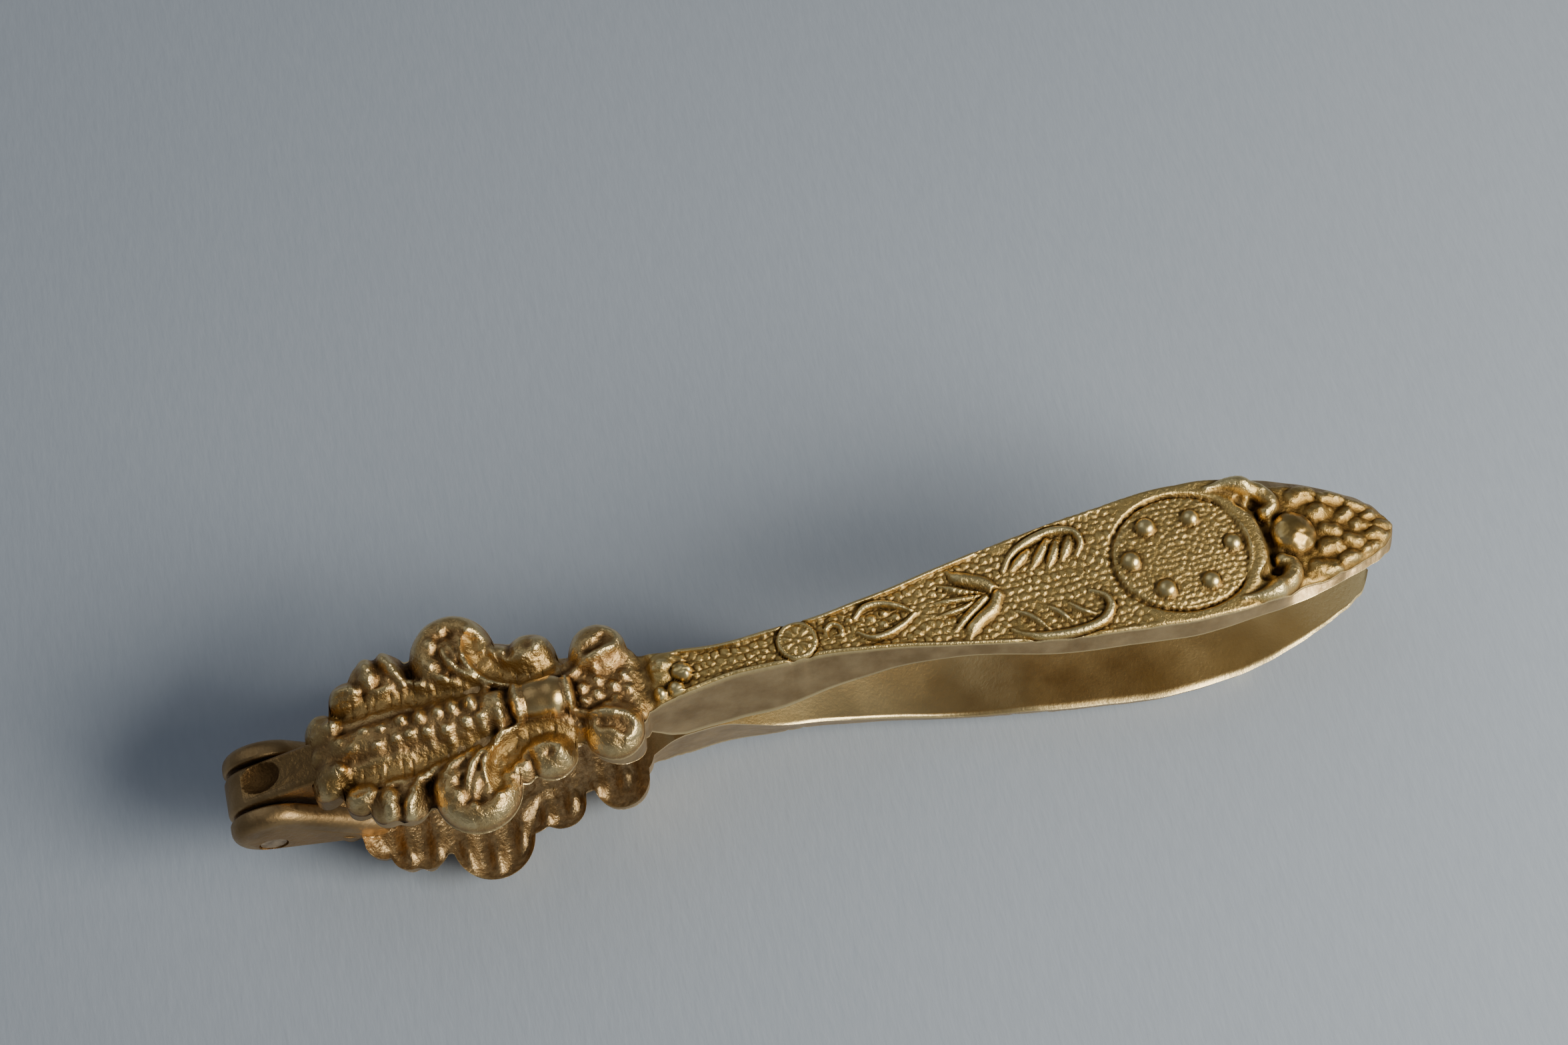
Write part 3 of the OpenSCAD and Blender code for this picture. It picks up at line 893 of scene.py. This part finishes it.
def combine(mesh, steps):
    """Applies (operation, mesh) Booleans in turn and returns the object, named after the first mesh."""
    name = mesh.name
    body = placed(name, outward(mesh))
    tools = []
    for k, (operation, tool_mesh) in enumerate(steps):
        tool = placed(f"{name}_tool_{k}", outward(tool_mesh))
        modifier = body.modifiers.new(operation, "BOOLEAN")
        modifier.operation = operation
        modifier.solver = "MANIFOLD"
        modifier.object = tool
        tools.append(tool)
    bpy.context.view_layer.update()
    evaluated = body.evaluated_get(bpy.context.evaluated_depsgraph_get())
    finished = bpy.data.meshes.new_from_object(evaluated)
    finished.name = name
    body.modifiers.clear()
    body.data = finished
    for tool in tools:
        bpy.data.objects.remove(tool)
    return body


# ---------- Materials ----------


class Graph:
    """Small helper for building a node tree."""

    def __init__(self, name):
        self.material = bpy.data.materials.new(name)
        self.material.use_nodes = True
        self.tree = self.material.node_tree
        self.shader = self.tree.nodes["Principled BSDF"]
        self.place = self.node("ShaderNodeTexCoord").outputs["Object"]

    def node(self, kind, inputs=None, **settings):
        made = self.tree.nodes.new(kind)
        for key, value in settings.items():
            setattr(made, key, value)
        for key, value in (inputs or {}).items():
            self.feed(value, made.inputs[key])
        return made

    def feed(self, value, socket):
        if isinstance(value, bpy.types.NodeSocket):
            self.tree.links.new(value, socket)
        elif isinstance(value, tuple) and len(value) == 3 and socket.type == "RGBA":
            socket.default_value = (*value, 1)
        else:
            socket.default_value = value

    def attribute(self, name):
        return self.node("ShaderNodeAttribute", attribute_name=name).outputs["Fac"]

    def noise(self, size_mm, detail=4.0, roughness=0.55, stretch=None):
        """Noise in 0..1 whose features are about size_mm wide; stretch scales the three axes."""
        place = self.place
        if stretch:
            place = self.node("ShaderNodeMapping", {"Vector": place, "Scale": stretch}).outputs[0]
        inputs = {"Vector": place, "Scale": 1 / (size_mm * MM), "Detail": detail, "Roughness": roughness}
        return self.node("ShaderNodeTexNoise", inputs).outputs["Fac"]

    def math(self, operation, a, b=0.0, clamp=False):
        return self.node("ShaderNodeMath", {0: a, 1: b}, operation=operation, use_clamp=clamp).outputs[0]

    def times(self, a, b):
        return self.math("MULTIPLY", a, b)

    def plus(self, a, b, clamp=False):
        return self.math("ADD", a, b, clamp)

    def span(self, value, low, high, to_low=0.0, to_high=1.0):
        """Linear, clamped change of range."""
        inputs = {"Value": value, "From Min": low, "From Max": high, "To Min": to_low, "To Max": to_high}
        return self.node("ShaderNodeMapRange", inputs).outputs[0]

    def mix(self, share, a, b):
        return self.node("ShaderNodeMix", {0: share, 6: a, 7: b}, data_type="RGBA").outputs[2]

    def multiply(self, a, b):
        settings = {"data_type": "RGBA", "blend_type": "MULTIPLY"}
        return self.node("ShaderNodeMix", {0: 1.0, 6: a, 7: b}, **settings).outputs[2]

    def blend(self, share, a, b):
        return self.node("ShaderNodeMix", {0: share, 2: a, 3: b}).outputs[0]

    def ramp(self, value, stops):
        made = self.node("ShaderNodeValToRGB", {"Fac": value})
        ramp = made.color_ramp
        while len(ramp.elements) < len(stops):
            ramp.elements.new(0.5)
        for element, (position, colour) in zip(ramp.elements, stops):
            element.position = position
            element.color = (*colour, 1)
        return made.outputs["Color"]

    def bump(self, height, depth_mm, below=None):
        inputs = {"Height": height, "Distance": depth_mm * MM, "Strength": 1.0}
        if below is not None:
            inputs["Normal"] = below
        return self.node("ShaderNodeBump", inputs).outputs[0]

    def finish(self, colour, roughness, normal, metallic=1.0):
        values = {"Base Color": colour, "Roughness": roughness, "Normal": normal, "Metallic": metallic}
        for label, value in values.items():
            self.feed(value, self.shader.inputs[label])
        return self.material


def cast_brass():
    """Ornament polished on its high points and dark in its hollows as tarnish and painted shade, with
    painted shade on the hinge and a painted highlight on the edges; matte walls, satin inner faces.
    """
    g = Graph("cast_brass")
    cavity, channel, polish, wall, inner, edge = (g.attribute(label) for label in MARKS)
    along = g.node("ShaderNodeSeparateXYZ", {0: g.place}).outputs[0]

    def rise(low, high):
        """From 0 to 1 between two distances from the pin."""
        return g.span(along, (PIN_X + low) * MM, (PIN_X + high) * MM)

    jaw = rise(JAW_END + 2, JAW_END - 2)
    clouds = g.noise(9, detail=3)
    specks = g.noise(0.9, detail=5, roughness=0.65)
    # Hollows and crowns plus specks: dark in the hollows as tarnish and painted shade, bright on the
    # polished crowns
    wear_and_shade = g.plus(cavity, g.times(g.math("SUBTRACT", specks, 0.5), 0.2))
    height = g.span(wear_and_shade, -0.5, 0.4)

    # Ornament: bronze and plain channels on the jaw, gold on the handle, browner at the crown; both ramps
    # run from dark hollows (tarnish and painted shade) to bright polished crowns
    gold = g.ramp(height, [
        (0.00, (0.055, 0.030, 0.010)),
        (0.30, (0.24, 0.145, 0.048)),
        (0.52, (0.50, 0.33, 0.108)),
        (0.72, (0.67, 0.47, 0.175)),
        (1.00, (0.87, 0.69, 0.330)),
    ])
    bronze = g.ramp(height, [
        (0.00, (0.055, 0.028, 0.010)),
        (0.25, (0.23, 0.132, 0.052)),
        (0.50, (0.50, 0.315, 0.135)),
        (0.75, (0.68, 0.47, 0.200)),
        (1.00, (0.87, 0.68, 0.340)),
    ])
    tarnish = g.mix(g.span(clouds, 0.35, 0.7), (0.76, 0.72, 0.68), (1.0, 1.0, 1.0))
    bronze = g.multiply(bronze, tarnish)
    plain = g.mix(g.span(specks, 0.3, 0.7), (0.44, 0.27, 0.085), (0.66, 0.44, 0.160))
    ornament = g.mix(jaw, gold, g.mix(g.times(channel, 0.55), bronze, plain))
    crown = rise(146, 154)
    ornament = g.multiply(ornament, g.mix(crown, (1.0, 1.0, 1.0), (0.64, 0.58, 0.50)))

    # Walls, inner faces, painted shade over the hinge, and the edges, worn bright with a painted highlight
    stains = g.span(g.noise(5, detail=5), 0.35, 0.68)
    wall_colour = g.mix(stains, (0.34, 0.225, 0.105), (0.54, 0.38, 0.195))
    flute_tone = g.mix(g.span(specks, 0.35, 0.65), (0.36, 0.23, 0.105), (0.68, 0.47, 0.230))
    belly = g.times(rise(90, 110), rise(158, 138))
    smoke = g.span(g.noise(13, detail=4), 0.70, 0.30, 0.0, 0.75)
    patina = g.times(smoke, g.span(belly, 0.0, 1.0, 0.45, 1.0))
    patina = g.plus(patina, g.times(belly, 0.3), clamp=True)
    inner_tone = g.mix(patina, (0.88, 0.68, 0.34), (0.34, 0.22, 0.088))
    colour = g.mix(wall, ornament, wall_colour)
    colour = g.mix(inner, colour, g.mix(jaw, inner_tone, flute_tone))
    # Painted shade: colour multiplied darker over the hinge end, the ears and the tongue between them
    hinge_shade = rise(20, 9)
    colour = g.multiply(colour, g.mix(hinge_shade, (1.0, 1.0, 1.0), (0.74, 0.70, 0.65)))
    # Painted highlight, partly wear: colour mixed towards bright gold along the edges
    colour = g.mix(g.times(edge, 0.8), colour, (0.90, 0.70, 0.36))

    # Roughness
    rough = g.span(height, 0.2, 0.85, 0.50, 0.24)
    rough = g.plus(rough, g.times(specks, 0.10))
    rough = g.plus(rough, g.times(crown, 0.10))
    rough = g.blend(polish, rough, 0.33)
    rough = g.blend(wall, rough, g.span(specks, 0.3, 0.7, 0.36, 0.52))
    satin = g.plus(g.span(clouds, 0.3, 0.7, 0.32, 0.42), g.times(jaw, 0.08))
    rough = g.blend(inner, rough, satin)

    # Cast grain and dents, quiet where the metal was filed or polished
    grain = g.noise(0.5, detail=4, roughness=0.6)
    dents = g.noise(1.3, detail=2)
    smooth_back = g.times(g.math("SUBTRACT", 1.0, jaw), inner)
    quiet = g.math("SUBTRACT", 1.0, g.times(g.math("MAXIMUM", wall, smooth_back), 0.7))
    quiet = g.math("MAXIMUM", quiet, g.times(g.times(inner, jaw), 0.9))
    quiet = g.times(quiet, g.math("SUBTRACT", 1.0, g.times(polish, 0.8)))
    normal = g.bump(g.times(grain, quiet), 0.16)
    normal = g.bump(g.times(dents, g.times(jaw, quiet)), 0.25, normal)
    return g.finish(colour, rough, normal)


def rod_brass():
    """Dulled drawn rod: circular marks on the cut ends."""
    g = Graph("rod_brass")
    axis = (PIN_X * MM, 0.0, -PIN_DROP * MM)
    offset = g.node("ShaderNodeVectorMath", {0: g.place, 1: axis}, operation="SUBTRACT")
    split = g.node("ShaderNodeSeparateXYZ", {0: offset.outputs[0]})
    flat = g.node("ShaderNodeCombineXYZ", {0: split.outputs[0], 2: split.outputs[2]})
    radius = g.node("ShaderNodeVectorMath", {0: flat.outputs[0]}, operation="LENGTH").outputs["Value"]
    rings = g.math("SINE", g.times(radius, 2 * math.pi / (0.22 * MM)))
    stain = g.noise(1.6, detail=5)
    colour = g.mix(g.span(stain, 0.35, 0.7), (0.30, 0.205, 0.12), (0.58, 0.45, 0.30))
    rough = g.span(stain, 0.3, 0.7, 0.38, 0.55)
    normal = g.bump(g.plus(g.times(rings, 0.25), g.noise(0.3)), 0.03)
    return g.finish(colour, rough, normal)


def floor_paper():
    """Pale blue-grey paper with a faint fibre."""
    g = Graph("floor_paper")
    fibre = g.noise(0.8, detail=5, stretch=(1.0, 0.25, 1.0))
    colour = g.mix(fibre, (0.345, 0.385, 0.45), (0.40, 0.44, 0.505))
    return g.finish(colour, 0.85, g.bump(fibre, 0.05), metallic=0.0)


# ---------- Pieces ----------


def upper_lever(relief):
    """Casting with the tongue, its bore and the dish that wear hollowed into it, painted dark as shade."""
    bore = [(-8, PIN_RADIUS + BORE_GAP), (8, PIN_RADIUS + BORE_GAP)]
    return combine(casting_mesh("upper_lever_cast", relief, False), [
        ("UNION", rounded_slab("tongue", -TONGUE_HALF, TONGUE_HALF, (13.5, 9.0), 2.2, (0.9, 0.9), False)),
        ("DIFFERENCE", turned("tongue_bore", bore)),
        ("DIFFERENCE", ball("tongue_dish", (-1.0, 0.5, 8.9), (5.0, 3.3, 3.75))),
    ])


def lower_lever(relief):
    """Casting with the two ears and the bore that holds the pin."""
    bore = [(-8, PIN_RADIUS), (8, PIN_RADIUS)]
    arm = (14.2, 8.3)
    return combine(casting_mesh("lower_lever_cast", relief, True), [
        ("UNION", rounded_slab("near_ear", -EAR_OUTER, -EAR_INNER, arm, 2.5, (1.7, 0.5), True)),
        ("UNION", rounded_slab("far_ear", EAR_INNER, EAR_OUTER, arm, 2.5, (0.5, 1.7), True)),
        ("DIFFERENCE", turned("ear_bore", bore)),
    ])


def hinge_pin():
    """Rod with chamfered ends, a hair thinner than the ears' bore."""
    radius = PIN_RADIUS - 0.01
    chamfer = 0.25
    outline = [
        (-PIN_END, PIN_RADIUS - chamfer), (-PIN_END + chamfer, radius),
        (PIN_END - chamfer, radius), (PIN_END, PIN_RADIUS - chamfer),
    ]
    return placed("hinge_pin_rod", outward(turned("hinge_pin_rod", outline)))


def dress(piece, material, sharp_angle, node, body):
    """Shades a piece and puts it in its CAD node's place on the body that carries it."""
    piece.data.shade_smooth()
    piece.data.set_sharp_from_angle(angle=math.radians(sharp_angle))
    piece.data.materials.clear()
    piece.data.materials.append(material)
    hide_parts(node)
    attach(piece, body)


face = ornamented_face()
brass = cast_brass()
dress(upper_lever(face), brass, 62, "upper_lever", "upper")
dress(lower_lever(face), brass, 62, "lower_lever", "lower")
dress(hinge_pin(), rod_brass(), 30, "hinge_pin", "lower")

# ---------- Floor, light and camera ----------

low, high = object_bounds()
centre = (low + high) / 2


def lay_floor(reach):
    """Square sheet under the lowest point."""
    signs = ((-1, -1), (1, -1), (1, 1), (-1, 1))
    corners = [(centre.x + sx * reach, centre.y + sy * reach, low.z) for sx, sy in signs]
    mesh = bpy.data.meshes.new("floor")
    mesh.from_pydata(corners, [], [(0, 1, 2, 3)])
    mesh.materials.append(floor_paper())
    placed("floor", mesh)


def area_light(name, position, size, watts, colour):
    """Soft light aimed at the middle of the object."""
    data = bpy.data.lights.new(name, "AREA")
    data.shape = "RECTANGLE"
    data.size, data.size_y = size
    data.energy = watts
    data.color = colour
    light = placed(name, data)
    light.location = centre + Vector(position)
    light.rotation_euler = (-Vector(position)).to_track_quat("-Z", "Y").to_euler()


def room_light(colour, strength):
    """Even light from all round."""
    world = bpy.data.worlds.new("studio")
    world.use_nodes = True
    background = world.node_tree.nodes["Background"]
    background.inputs["Color"].default_value = (*colour, 1)
    background.inputs["Strength"].default_value = strength
    bpy.context.scene.world = world


def place_camera(position, right, down, lens):
    """Camera at a place in the lever's own millimetres, from the picture's two directions."""
    data = bpy.data.cameras.new("camera")
    data.sensor_width = 36.0
    data.lens = lens
    camera = placed("camera", data)
    turn = Matrix((right, -down, -right.cross(down))).transposed()
    place = Vector((position[0] + PIN_X, position[1], position[2] - PIN_DROP)) * MM
    camera.matrix_world = Matrix.Translation(place) @ turn.to_4x4()
    bpy.context.scene.camera = camera


lay_floor(reach=3.0)
area_light("window", (0.44, -0.30, 0.34), (0.40, 0.34), 6.0, (1.0, 0.975, 0.87))
area_light("fill", (-0.5, 0.5, 0.8), (0.9, 0.9), 1.3, (0.85, 0.92, 1.0))
room_light((0.50, 0.54, 0.60), 0.27)
place_camera(
    position=(41.0, -114.7, 315.2),
    right=Vector((0.9705, -0.2401, 0.0229)),
    down=Vector((-0.2083, -0.8823, -0.4222)),
    lens=52.04)
